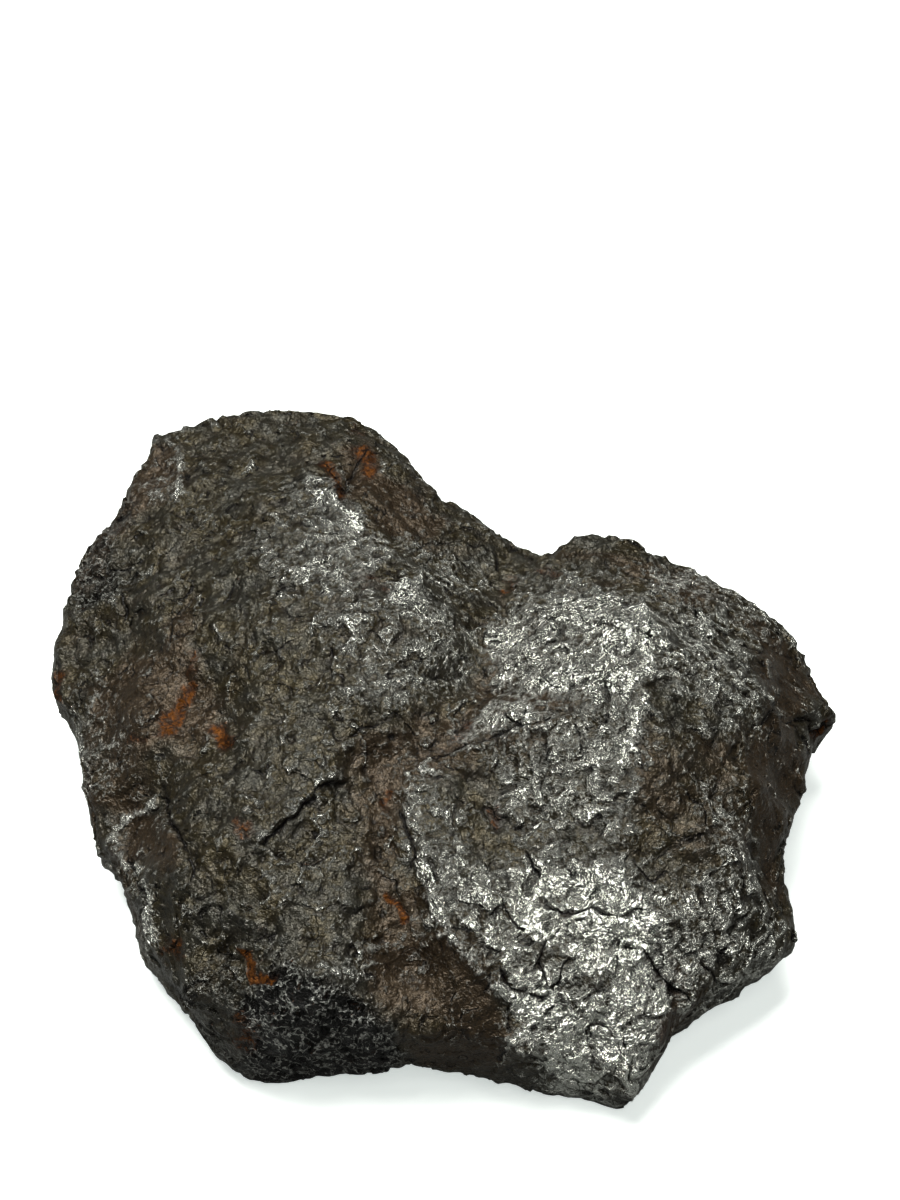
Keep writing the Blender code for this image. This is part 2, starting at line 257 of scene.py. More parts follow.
# Ridges, whose crests are made bright partly as wear and partly as painted highlight: a line of points and a
# height.
RIDGES = [
    ([(34, 23.5), (33.5, 10.5), (33.5, 6.5), (30.5, 3.5), (32.5, 1), (32.5, -2.5), (30.5, -6),
      (28.5, -10.5)], 0.5),
    ([(-0.5, -20.5), (-0.5, -25.5), (1, -29.5), (2.5, -33.5), (5.5, -36.5), (8.5, -38.5),
      (11.5, -40.5), (16.5, -43)], 0.6),
    ([(-47.5, 69), (-44.5, 64.5), (-43.5, 57), (-43.5, 51)], 0.5),
    ([(-42.5, -6), (-47.5, -7), (-49.5, -9.5), (-47, -14.5), (-42, -23), (-42, -28)], 0.6),
    ([(-23, -40.5), (-20, -40), (-17, -40), (-14, -39.5), (-11.5, -39)], 0.5),
    ([(-27.5, -1.5), (-25.5, 1), (-22, 1.5), (-15, 0.5)], 0.3),
    ([(-25.5, 67), (-23, 65), (-19.5, 63.5)], 0.3),
    ([(-20, 51), (-17.5, 51), (-16, 48.5), (-15.5, 45), (-13, 42.5), (-11.5, 39)], 0.5),
    ([(45, 22.5), (45.5, 19.5), (42.5, 13.5), (44.5, 10.5)], 0.4),
    ([(-1, -6.5), (-3.5, -9), (-4, -11), (-3, -14)], 0.4),
    ([(50, 4), (56.5, 10.5), (61, 12.5), (65.5, 14.5)], 0.3),
]
RIDGE_WIDTH = 0.9

# Pits, and knobs with a depth below nothing: x, y, radius and depth.
PITS = [
    (-3.5, 9, 1.0, 0.5), (-30, -34, 1.9, 1.0), (-8, -16, 0.8, 0.6), (-7.5, -20, 0.8, 0.6),
    (27.5, -34, 0.9, 0.7), (29.3, -34.3, 0.8, 0.7), (31.5, 16, 1.3, 0.8), (-42, 45.5, 2.2, 0.8),
    (-52.5, 30.5, 2.4, -0.9), (57.5, -0.5, 1.2, -0.7),
]
# A pit's slope starts at this many radii, and is one radius wide.
PIT_REACH = 1.4

# Where the skin is rubbed bright, stained brown or burnt black: how strongly, and its outline. The bright
# patches are rubbed metal and also painted sheen where the light is mirrored, brightest in their cores.
BRIGHT_PATCHES = {
    "upper facet": (0.8, [
        (14, 27), (23, 32.5), (31, 30), (35, 25), (35.5, 14.5), (34.5, 6.5), (33.5, -7.5), (31.5, -11),
        (27.5, -7), (18, 2.5), (12.5, 5), (7.5, 8.5), (8, 17),
    ]),
    "facet core": (1.15, [
        (27, 15.5), (33.5, 24), (34.5, 14.5), (34.5, 3.5), (33.5, -7.5), (31, -8.5), (29.5, 0.5), (28, 9),
    ]),
    "facet left": (1.0, [(15, 20.5), (22.5, 20), (23.5, 11.5), (14.5, 11.5)]),
    "lip": (0.8, [
        (-2, -28), (3, -25.5), (9.5, -20), (16.5, -21.5), (15, -34), (17, -41), (9.5, -40), (3, -36),
        (-2, -32),
    ]),
    "facet foot": (1.1, [(14.5, 11.5), (24, 10), (38.5, 9), (38.5, 1), (32, -1), (20, -0.5), (14.5, 2.5)]),
    "upper bowl": (0.65, [(7, -4.5), (17, 1), (31.5, 0.5), (31.5, -6.5), (28.5, -22), (20, -18), (11, -18)]),
    "bowl": (0.57, [
        (-3.5, -7), (-0.5, -7), (2, -13.5), (6, -21), (13.5, -19), (23, -18.5), (29, -22), (32.5, -25.5),
        (40.5, -25), (46.5, -23.5), (47, -27), (40.5, -32), (36.5, -38), (35, -43.5), (31, -51), (25.5, -50),
        (19, -45.5), (13, -41.5), (7, -38), (1.5, -33.5), (-1, -28), (-3, -20),
    ]),
    "bowl core": (1.25, [
        (11.5, -20), (20, -18.5), (29.5, -25), (33, -31.5), (32.5, -36), (25.5, -39.5), (16.5, -36),
        (11, -28.5),
    ]),
    "bowl low": (1.05, [
        (7.5, -38), (13.5, -41), (19.5, -45), (25.5, -48), (29.5, -49.5), (35, -43), (37.5, -39),
        (32.5, -36), (25.5, -39.5), (16.5, -36),
    ]),
    "spine core": (1.0, [
        (-22.5, 53), (-17, 51.5), (-11, 43), (-9.5, 35), (-14, 32), (-16.5, 41), (-20.5, 44),
    ]),
    "spine left": (0.4, [(-28, 41), (-23.5, 42), (-20, 31), (-21, 20.5), (-26.5, 20.5)]),
    "dome core": (0.8, [(-10, 22), (-4.5, 25.5), (0, 25), (1.5, 17.5), (-3, 12.5), (-8.5, 15)]),
    "tip": (1.1, [
        (24, -38), (31, -36.5), (34.5, -40), (34.5, -46), (31, -53), (24, -51), (18, -49), (13, -45),
    ]),
    "south east": (0.6, [
        (38.5, -28), (46.5, -25.5), (52, -24.5), (55, -27.5), (51, -30), (44.5, -34.5), (39, -34.5),
    ]),
    "east face": (0.5, [(40.5, -14.5), (46.5, -11), (48, -24.5), (40.5, -27)]),
    "spine": (0.65, [
        (-19, 54), (-15, 51.5), (-11.5, 41), (-8.5, 30), (-12, 19.5), (-13, 12), (-19, 15), (-20.5, 25.5),
        (-19.5, 40.5),
    ]),
    "north slope": (0.4, [(-7.5, 41.5), (2, 41), (10, 35.5), (8.5, 28), (-1.5, 23.5), (-8, 30.5)]),
    "dome": (0.45, [
        (-14, 26), (-5, 25.5), (1.5, 21.5), (6.5, 17), (3, 8), (-4.5, 0), (-12, 1), (-15.5, 10.5),
    ]),
    "crest": (0.8, [(24.5, -4), (32, 1), (36, -3), (31.5, -16), (28.5, -22), (24.5, -15)]),
    "corner": (0.5, [(-48, 68), (-44.5, 68.5), (-43.5, 52), (-47, 54.5)]),
    "back": (0.5, [(37, 33), (45, 36.5), (54.5, 33), (61, 27.5), (57, 24), (44, 23), (37.5, 24)]),
    "east": (0.45, [
        (37, 22.5), (44.5, 27.5), (51, 26), (51, 17), (51, 5), (49, -4.5), (41, -4.5), (38.5, 2.5),
        (34.5, 8.5),
    ]),
    "lower left": (0.15, [
        (-29, -7), (-25, 2), (-14, 1), (-10, -6), (-13, -14), (-10, -24), (-15, -36), (-22, -33), (-25, -22),
    ]),
    "front lip": (0.4, [(-16, -38.5), (-12, -34), (-4, -32.5), (-3.5, -39.5), (-12.5, -41.5)]),
    "west edge": (0.35, [(-60, 17.5), (-56.5, 18.5), (-52, 9.5), (-49.5, -1.5), (-53, -3), (-57.5, 10.5)]),
    "west wall": (0.35, [(-50, -10), (-45, -20), (-41, -30), (-44, -31), (-50, -20), (-54, -10)]),
    "step": (0.7, [(8, 6), (14, 6), (21, 1), (19, -2), (10, -2.5), (3, -3.5), (5, 2)]),
}
BROWN_PATCHES = {
    "valley": (0.55, [
        (11, 7.5), (6, -7), (-2.5, -12.5), (-4.5, -21), (-2.5, -29), (3.5, -39), (13.5, -46.5), (6, -45),
        (-4, -45), (-8.5, -35.5), (-9, -21.5), (-10.5, -13), (-11, -5), (-5, -3.5), (4, 6.5), (6.5, 15),
        (8, 22), (11.5, 20),
    ]),
    "low": (0.9, [
        (-3.5, -31), (2, -36.5), (10.5, -42.5), (20, -46), (10.5, -46), (2, -46), (-4, -42), (-7, -35.5),
    ]),
    "step": (0.6, [(12, 7.5), (20, 2), (19, -2.5), (10, -3), (1, -4), (6, 2)]),
    "east": (1.0, [(52, 10), (59, 11), (59, 0), (54.5, -13.5), (54.5, -22), (50, -21.5), (48.5, -12.5)]),
    "east top": (0.9, [(52, 28), (59, 27), (64, 15), (56, 9), (51, 10), (52, 18)]),
    "east slope": (0.4, [
        (31.5, -10.5), (41.5, -3.5), (47.5, -3), (47, -15.5), (39, -24), (33, -23), (31, -16),
    ]),
    "south east wall": (1.0, [
        (32.5, -36), (36, -38), (42.5, -36), (40, -40), (35, -46), (34, -46), (35, -40),
    ]),
    "back": (0.55, [
        (22, 40.5), (28.5, 40.5), (37.5, 37), (48.5, 33), (43.5, 26), (34, 30), (28, 33.5), (22.5, 35.5),
    ]),
    "west": (0.7, [
        (-40.5, 27.5), (-34, 15), (-31, 3.5), (-37, -1), (-50, -2.5), (-57, 10.5), (-60.5, 17.5),
        (-52, 16.5), (-45, 18),
    ]),
    "west facets": (0.9, [
        (-54.5, -1.5), (-47, -2.5), (-42, -5.5), (-40, -13.5), (-37.5, -20), (-41, -23), (-50, -10.5),
    ]),
    "north west": (0.9, [
        (-51, 64), (-47, 66), (-45, 60), (-46, 50), (-52, 46), (-58, 36), (-60, 40), (-56, 52),
    ]),
    "north": (0.9, [(-16, 60), (-10, 64), (-5.5, 55), (1, 46), (-4, 40), (-10, 46), (-15, 52)]),
}
DARK_PATCHES = {
    "front": (1.0, [
        (-19.5, -41), (-14, -40.5), (-10, -41.5), (-4, -45), (-4, -52), (-19, -52), (-30, -48), (-27, -42),
        (-23, -41),
    ]),
    "south west": (0.45, [
        (-37, -31), (-28, -31), (-22, -37), (-20, -42), (-23, -50), (-34, -46), (-40, -38),
    ]),
    "north west": (0.55, [(-62, 43.5), (-57, 58), (-50.5, 60), (-49, 36), (-51, 28.5), (-60, 31)]),
}
# Half the width of a patch's soft edge, and how bright a ridge's crest is made, partly as wear and partly as
# painted highlight.
PATCH_EDGE = 3.5
RIDGE_WEAR_AND_SHEEN = 1.2
# How much of the black coat the faces that look down get.
UNDER_DARKENING = 0.5
# How often the relief is averaged, to tell small crests from wider rises.
FINE_PASSES = 6
WIDE_PASSES = 40

# The edge that the front's wall and the underside meet in gets a painted highlight: how far it faces down
# there, over what range, how far it has to face the front, and how bright it is.
HEM_TILT = 0.6
HEM_SPREAD = 0.12
HEM_FRONT = (0.2, 0.5)
HEM_HIGHLIGHT = 0.5

# Rust streaks and spots: a line of points, its half width and its strength.
RUST_STREAKS = [
    ([(-38, 16), (-37.5, 14), (-38, 10.5)], 0.9, 0.5),
    ([(-38, 10.5), (-39.5, 7.5), (-41, 3.5)], 1.4, 0.9),
    ([(-41, 3.5), (-44.5, 2), (-47.5, 3)], 0.6, 0.6),
    ([(-33.5, 2), (-32.5, 0), (-31, -2)], 1.1, 1.0),
    ([(-61, 20.5), (-61.5, 17)], 1.2, 0.8),
    ([(-18, 56), (-16.5, 51), (-15, 47.5)], 1.2, 0.85),
    ([(-12.5, 60.5), (-10.5, 58.5), (-11, 54.5)], 1.5, 0.9),
    ([(-14, 68.5), (-13, 65)], 1.3, 0.5),
    ([(-11, 26.5), (-8, 24)], 2.2, 0.45),
    ([(12.5, 31.5), (13.5, 33.5)], 1.6, 0.6),
    ([(18.5, 35), (21, 32.5)], 1.5, 0.5),
    ([(-27.5, -35), (-26, -37), (-25, -38.5), (-22, -40)], 0.6, 1.3),
    ([(-6.5, -26.5), (-5, -28), (-4, -29.5), (-3, -30.5)], 0.6, 1.0),
    ([(-39, -30.5), (-37.5, -32)], 1.4, 0.6),
    ([(-28.5, -43.5), (-26.5, -44)], 1.6, 0.6),
    ([(6, 1), (5, -1.5), (4, -3)], 1.2, 0.6),
    ([(9.5, -14), (10.5, -15)], 1.0, 0.5),
    ([(-6.5, -11), (-6.5, -13)], 0.9, 0.6),
    ([(-28, -18), (-27, -19.5)], 1.2, 0.6),
    ([(61.5, 10.5), (64, 12.5), (65, 13.5)], 0.7, 0.8),
    ([(35, -43), (35, -45)], 1.2, 0.5),
]
# A streak fades in between these many half widths from its line.
STREAK_EDGE = (1.7, 0.2)


def along_rim(bearing, values, turns):
    """The mean of a value given at the rim's points, taken at each bearing and turned from it."""
    points = np.array(RIM, dtype=float)
    at = np.arctan2(points[:, 1], points[:, 0])
    return sum(np.interp(bearing + turn, at, values, period=2 * np.pi) for turn in turns) / len(turns)


def outline(bearing, away):
    """Radius and height of the rim: its corners are sharp at the rim, and soften away from it."""
    points = np.array(RIM, dtype=float)
    reach = np.hypot(points[:, 0], points[:, 1])
    sharp = along_rim(bearing, reach, [0])
    soft = along_rim(bearing, reach, CORNER_SOFTENING)
    height = along_rim(bearing, points[:, 2], RIM_SMOOTHING)
    return sharp + (soft - sharp) * away ** 2, height


def spot_weights(spots):
    """Weights that carry a smooth surface through the spot heights, to within the slack."""
    points = np.array(spots, dtype=float)
    gap = np.hypot(points[:, None, 0] - points[None, :, 0], points[:, None, 1] - points[None, :, 1])
    kernel = -np.sqrt(gap ** 2 + SPOT_BLEND ** 2) + SPOT_SLACK * np.eye(len(points))
    plane = np.column_stack([np.ones(len(points)), points[:, :2]])
    system = np.block([[kernel, plane], [plane.T, np.zeros((3, 3))]])
    return np.linalg.solve(system, np.concatenate([points[:, 2], np.zeros(3)]))


def spot_surface(x, y, spots):
    """A plane plus a rounded cone at each spot, which pass through the spot heights."""
    weights = spot_weights(spots)
    height = weights[-3] + weights[-2] * x + weights[-1] * y
    for weight, (spot_x, spot_y, _) in zip(weights, spots):
        height = height - weight * np.sqrt((x - spot_x) ** 2 + (y - spot_y) ** 2 + SPOT_BLEND ** 2)
    return height


def carry_onto_stone(directions):
    """Directions from the middle of a ball, carried onto the stone's surface, in millimetres.

    Also how far each point is from the rim: 0 there, and 1 at the middles of the top and underside.
    """
    bearing = np.arctan2(directions[:, 1], directions[:, 0])
    flat = np.hypot(directions[:, 0], directions[:, 1])
    steep = np.abs(directions[:, 2])
    above = directions[:, 2] > 0
    to_back = 0.5 + 0.5 * np.sin(bearing)
    top_squareness = FRONT_SQUARENESS + (BACK_SQUARENESS - FRONT_SQUARENESS) * to_back
    power = np.where(above, top_squareness, UNDER_SQUARENESS)
    size = (flat ** power + steep ** power) ** (1 / power)
    away = steep / size
    radius, rim = outline(bearing, away)
    x = radius * flat / size * np.cos(bearing)
    y = radius * flat / size * np.sin(bearing)
    top = spot_surface(x, y, TOP_SPOTS)
    under = spot_surface(x, y, UNDER_SPOTS)
    z = rim + (np.where(above, top, under) - rim) * away
    return np.column_stack([x, y, np.maximum(z, 0)]), away


def scattered(cells, seed):
    """Three repeatable numbers from 0 to 1 for each whole-numbered cell."""
    x, y, z = (cells + FIRST_CELL).astype(np.uint64).T
    mixed = (x * CELL_PRIMES[0]) ^ (y * CELL_PRIMES[1]) ^ (z * CELL_PRIMES[2])
    mixed ^= np.uint64(seed * SEED_PRIME)
    numbers = []
    for prime in MIXING_PRIMES:
        mixed = (mixed ^ (mixed >> np.uint64(MIXING_SHIFT))) * np.uint64(prime)
        mixed %= np.uint64(BIGGEST_NUMBER)
        numbers.append(mixed / BIGGEST_NUMBER)
    return np.column_stack(numbers)


def nearest_centre(points, pitch, seed):
    """How far each point is from the nearest of the scattered centres, in pitches."""
    places = points / pitch
    cells = np.floor(places)
    nearest = np.full(len(points), np.inf)
    for step in np.ndindex(3, 3, 3):
        cell = cells + np.array(step) - 1
        centre = cell + 0.5 + STRAY * (scattered(cell, seed) - 0.5)
        nearest = np.minimum(nearest, np.linalg.norm(places - centre, axis=1))
    return nearest


def hollows(points, pitch, seed):
    """Round hollows that meet in crisp edges: 1 at their middles, and 0 well away from them."""
    return np.clip(1 - (nearest_centre(points, pitch, seed) / HOLLOW_REACH) ** 2, 0, 1)


def waves(points, pitch, seed):
    """Smooth random swells from -1 to 1: one number at each corner of a lattice, blended between."""
    places = points / pitch
    cells = np.floor(places)
    part = places - cells
    part = part * part * (3 - 2 * part)
    total = np.zeros(len(points))
    for corner in np.ndindex(2, 2, 2):
        share = np.prod(np.where(corner, part, 1 - part), axis=1)
        total += share * scattered(cells + np.array(corner), seed)[:, 0]
    return 2 * total - 1


def weather(points, normals, away):
    """The stone with its thumbprints and lumps, which stop short of the rim and the worn feet."""
    drift = np.column_stack([waves(points, DRIFT_PITCH, seed) for seed in (11, 12, 13)])
    wandering = points + DRIFT * drift
    facing_up = np.clip(normals[:, 2], 0, 1)
    depth = THUMBPRINT_DEPTH + (THUMBPRINT_DEPTH_ON_TOP - THUMBPRINT_DEPTH) * facing_up
    sunk = depth * (hollows(wandering, THUMBPRINT_PITCH, 1) - LEVEL)
    sunk += LUMP_DEPTH * (hollows(wandering, LUMP_PITCH, 2) - LEVEL)
    sunk += SWELL_HEIGHT * (waves(points, SWELL_PITCH, 3) + 0.5 * waves(points, SWELL_PITCH / 2, 4))
    sunk *= RIM_SHARE + (1 - RIM_SHARE) * np.clip(away / RIM_BAND, 0, 1)
    sunk *= np.clip(points[:, 2] / FOOT_MARGIN, 0, 1)
    worn = points - normals * sunk[:, None]
    worn[:, 2] = np.maximum(worn[:, 2], 0)
    return worn


# ---- The fine surface.


def side_of_cube(axis, level, step):
    """One side's cells: four corners each, in whole numbers, each a function of two parameters."""
    counts = [CELLS_ACROSS, CELLS_ACROSS, CELLS_OVER_RIM]
    first, second = (axis + 1) % 3, (axis + 2) % 3
    rows, columns = np.meshgrid(
        np.arange(0, counts[first], step), np.arange(0, counts[second], step), indexing="ij"
    )
    corners = []
    for step_first, step_second in ((0, 0), (step, 0), (step, step), (0, step)):
        point = np.empty((rows.size, 3), dtype=np.int64)
        point[:, first] = rows.ravel() + step_first
        point[:, second] = columns.ravel() + step_second
        point[:, axis] = level
        corners.append(point)
    cells = np.stack(corners, axis=1)
    return cells if level else cells[:, ::-1]


def cut_cube():
    """A cube's surface as a closed grid, from -1 to 1: its points, its cells, and its faces.

    The three whole coordinates of a grid point number it, so points that sides share are one point.
    The underside's cells are twice as wide, and those along its edge take in the points halfway.
    """
    across, over = CELLS_ACROSS, CELLS_OVER_RIM
    sides = [side_of_cube(axis, level, 1) for axis in (0, 1) for level in (0, across)]
    fine = np.concatenate(sides + [side_of_cube(2, over, 1)])
    wide = side_of_cube(2, 0, 2)
    cells = np.concatenate([fine, wide])

    def number(points):
        return (points[..., 0] * (across + 1) + points[..., 1]) * (over + 1) + points[..., 2]

    used = np.unique(number(cells))
    quads = np.searchsorted(used, number(cells))
    halfway = (wide + np.roll(wide, -1, axis=1)) // 2
    on_edge = ((halfway[..., :2] == 0) | (halfway[..., :2] == across)).any(axis=2)
    halfway_numbers = np.where(on_edge, np.searchsorted(used, number(halfway)), -1)
    rings = np.stack([quads[len(fine):], halfway_numbers], axis=2).reshape(len(wide), 8)
    faces = quads[:len(fine)].tolist() + [ring[ring >= 0].tolist() for ring in rings]

    points = np.column_stack([
        used // ((across + 1) * (over + 1)), used // (over + 1) % (across + 1), used % (over + 1),
    ])
    rise = (points[:, 2] / over) ** ROW_CROWDING
    cube = np.column_stack([points[:, :2] / across, rise]) * 2 - 1
    return cube, quads, faces


def vertex_normals(points, quads):
    """Each quad's normal is its diagonals' cross product, and a point's is its quads' sum."""
    a, b, c, d = (points[quads[:, corner]] for corner in range(4))
    face_normals = np.cross(c - a, d - b)
    total = np.zeros_like(points)
    for corner in range(4):
        for axis in range(3):
            total[:, axis] += np.bincount(quads[:, corner], face_normals[:, axis], len(points))
    return total / np.linalg.norm(total, axis=1, keepdims=True)


def neighbours_mean(values, quads):
    """The mean of each point's neighbours along the grid lines."""
    total = np.zeros(len(values))
    count = np.zeros(len(values))
    for corner in range(4):
        here, there = quads[:, corner], quads[:, (corner + 1) % 4]
        total += np.bincount(here, values[there], len(values))
        total += np.bincount(there, values[here], len(values))
        count += np.bincount(here, minlength=len(values)) + np.bincount(there, minlength=len(values))
    return total / count


def ease(values, low, high):
    """0 below low and 1 above high, with a smooth rise between: t * t * (3 - 2 * t)."""
    t = np.clip((values - low) / (high - low), 0, 1)
    return t * t * (3 - 2 * t)


def from_line(x, y, line):
    """Distance to a line of points, with the sign of its left side."""
    nearest = np.full(len(x), np.inf)
    side = np.ones(len(x))
    for (start_x, start_y), (end_x, end_y) in zip(line[:-1], line[1:]):
        run_x, run_y = end_x - start_x, end_y - start_y
        along = ((x - start_x) * run_x + (y - start_y) * run_y) / (run_x ** 2 + run_y ** 2)
        along = np.clip(along, 0, 1)
        gap = np.hypot(x - start_x - along * run_x, y - start_y - along * run_y)
        closer = gap < nearest
        nearest = np.where(closer, gap, nearest)
        left = run_x * (y - start_y) - run_y * (x - start_x) > 0
        side = np.where(closer, np.where(left, 1, -1), side)
    return nearest * side


def within(x, y, outline_points):
    """Distance inwards from an outline: positive inside it, by counting the edges to the right."""
    closed = outline_points + outline_points[:1]
    inside = np.zeros(len(x), dtype=bool)
    for (start_x, start_y), (end_x, end_y) in zip(closed[:-1], closed[1:]):
        if start_y != end_y:
            crossing = start_x + (y - start_y) * (end_x - start_x) / (end_y - start_y)
            inside ^= ((start_y > y) != (end_y > y)) & (x < crossing)
    gap = np.abs(from_line(x, y, closed))
    return np.where(inside, gap, -gap)


def patches(x, y, outlines):
    """The strongest of several patches at each point, each with a soft edge."""
    strongest = np.zeros(len(x))
    for strength, outline_points in outlines.values():
        share = strength * ease(within(x, y, outline_points), -PATCH_EDGE, PATCH_EDGE)
        strongest = np.maximum(strongest, share)
    return strongest


def streaks(x, y, lines):
    """The strongest of several streaks: strength * ease of the distance in half widths."""
    strongest = np.zeros(len(x))
    for line, half_width, strength in lines:
        gap = np.abs(from_line(x, y, line)) / half_width
        strongest = np.maximum(strongest, strength * ease(gap, *STREAK_EDGE))
    return strongest


def flakes(points, size):
    """Thin plates that overlap: swells cut into steps, less the swells. Also the count of steps."""
    pitch, cuts, height, seed = size
    swell = waves(points, pitch, seed) + FINER_SWELLS * waves(points, pitch / 2, seed + 1)
    steps = swell * cuts
    whole = np.floor(steps)
    edge = ease(steps - whole, FLAKE_FOOT, 1.0)
    return height * (whole + edge - steps + 0.5), steps


def cracked(x, y):
    """The cracks' relief, and for their fine lines the signed distance and how strong each is."""
    relief = np.zeros(len(x))
    nearest = np.full(len(x), CRACK_REACH)
    strength = np.zeros(len(x))
    for line, depth, ledge in CRACKS:
        gap = from_line(x, y, line)
        groove = ease(np.abs(gap), GROOVE_HALF, 0)
        rise = ease(gap, *LEDGE_RISE) * np.exp(-np.abs(gap) / LEDGE_WIDTH)
        relief += rise * ledge - groove * depth
        closer = np.abs(gap) < np.abs(nearest)
        nearest = np.where(closer, gap, nearest)
        fade = ease(CRACK_REACH - np.abs(gap), 0, CRACK_FADE)
        strength = np.where(closer, fade * depth, strength)
    return relief, nearest, strength


def ridges(x, y):
    """Height of the ridges: the greatest of height * exp(-(distance / width) ** 2)."""
    highest = np.zeros(len(x))
    for line, height in RIDGES:
        gap = from_line(x, y, line) / RIDGE_WIDTH
        highest = np.maximum(highest, height * np.exp(-gap ** 2))
    return highest


def pitted(x, y):
    """Depth of the pits and knobs: depth * ease of the distance in radii, over one radius."""
    total = np.zeros(len(x))
    for pit_x, pit_y, radius, depth in PITS:
        total += depth * ease(PIT_REACH - np.hypot(x - pit_x, y - pit_y) / radius, 0, 1)
    return total


def wandered(points, drifts):
    """The points' first axes, shifted by swells: place + reach * waves(points, pitch, seed)."""
    shifted = points[:, :len(drifts[0][2])]
    for pitch, reach, seeds in drifts:
        shifted = shifted + reach * np.column_stack([waves(points, pitch, seed) for seed in seeds])
    return shifted


def fine_relief(points, normals, smoothed):
    """Height of the fine relief above the weathered form, outwards, and the two step counts.

    It is flakes + scales - dents - dimples + crumbs, less of it on walls and brown skin, and none
    at the feet.
    """
    wandering = wandered(points, FLAKE_DRIFTS)
    relief, flake_steps = flakes(wandering, FLAKES)
    scale_relief, scale_steps = flakes(wandering, SCALES)
    relief += scale_relief
    for places, (pitch, depth, seed) in ((wandering, DENTS), (points, DIMPLES)):
        relief -= depth * (hollows(places, pitch, seed) - LEVEL)
    pitch, height, seed = CRUMBS
    relief += height * waves(points, pitch, seed)
    relief *= WALL_SHARE + (1 - WALL_SHARE) * np.abs(normals[:, 2])
    relief *= 1 - SMOOTHING * smoothed
    return relief * np.clip(points[:, 2] / FOOT_MARGIN, 0, 1), flake_steps, scale_steps


def averaged(values, quads, passes):
    """The values with each point's neighbours averaged in, this many times over."""
    for _ in range(passes):
        values = neighbours_mean(values, quads)
    return values


def worn_stone():
    """The weathered form on the fine grid, and the grid's quads and faces.

    Cube points become directions by the tangent of their angle, are carried onto the stone, and then
    get its thumbprints.
    """
    cube, quads, faces = cut_cube()
    spread = np.tan(cube * np.pi / 4)
    smooth, away = carry_onto_stone(spread / np.linalg.norm(spread, axis=1, keepdims=True))
    return weather(smooth, vertex_normals(smooth, quads), away), quads, faces


def over_solid(stone, worn):
    """The stone shifted sideways, so that its weathered form lies over the solid's middle."""
    low, high = (np.array(corner) / MM for corner in cad_box)
    shift = (low + high) / 2 - (worn.min(axis=0) + worn.max(axis=0)) / 2
    return stone + [shift[0], shift[1], 0]


def placed(name, data):
    """A new object in the scene."""
    thing = bpy.data.objects.new(name, data)
    bpy.context.scene.collection.objects.link(thing)
    return thing


def make_stone():
    """The stone: weathered form + normal * relief, with the masks that its skin reads.

    The relief is the fine relief, plus cracks, pits and ridges, which lie on the top alone.
    """
    worn, quads, faces = worn_stone()
    normals = vertex_normals(worn, quads)
    on_top = ease(normals[:, 2], *TOP_TILT)
    upper = ease(normals[:, 2], *UPPER_TILT)
    patch_x, patch_y = wandered(worn, PATCH_DRIFTS).T
    line_x, line_y = wandered(worn, LINE_DRIFTS).T

    brown = upper * patches(patch_x, patch_y, BROWN_PATCHES)
    ridge_heights = on_top * ridges(line_x, line_y)
    crack_relief, crack_side, crack_depth = cracked(line_x, line_y)
    relief, flake_steps, scale_steps = fine_relief(worn, normals, brown)
    relief += on_top * (crack_relief - pitted(line_x, line_y)) + ridge_heights
    stone = worn + normals * relief[:, None]
    stone[:, 2] = np.maximum(stone[:, 2], 0)

    near = averaged(relief, quads, FINE_PASSES)
    far = averaged(near, quads, WIDE_PASSES)
    # Rubbed metal and painted sheen: the bright patches, the ridge crests, and a painted highlight along the
    # front hem.
    burnish_and_sheen = patches(patch_x, patch_y, BRIGHT_PATCHES) + RIDGE_WEAR_AND_SHEEN * ridge_heights ** 2
    facing_hem = np.exp(-((normals[:, 2] + HEM_TILT) / HEM_SPREAD) ** 2)
    hem = facing_hem * ease(-normals[:, 1], *HEM_FRONT)
    masks = {
        "crest": relief - near,
        "rise": near - far,
        "flake_steps": flake_steps,
        "scale_steps": scale_steps,
        "burnish_and_sheen": upper * burnish_and_sheen + HEM_HIGHLIGHT * hem,
        "brown": brown,
        "scorch": patches(patch_x, patch_y, DARK_PATCHES) + UNDER_DARKENING * (1 - upper),
        "rust": on_top * streaks(line_x, line_y, RUST_STREAKS),
        "crack_side": crack_side,
        "crack_depth": on_top * ease(crack_depth, 0, DARK_CRACK),
    }

    mesh = bpy.data.meshes.new("iron_meteorite")
    mesh.from_pydata((over_solid(stone, worn) * MM).tolist(), [], faces)
    mesh.update()
    mesh.shade_smooth()
    for name, values in masks.items():
        layer = mesh.attributes.new(name, "FLOAT", "POINT")
        layer.data.foreach_set("value", values.astype(np.float32))
    return placed("iron_meteorite", mesh)


# ---- Materials.

# Where a Mix node has the share, the two colours and the blended colour.
BLEND_SOCKETS = (0, 6, 7)
BLEND_RESULT = 2


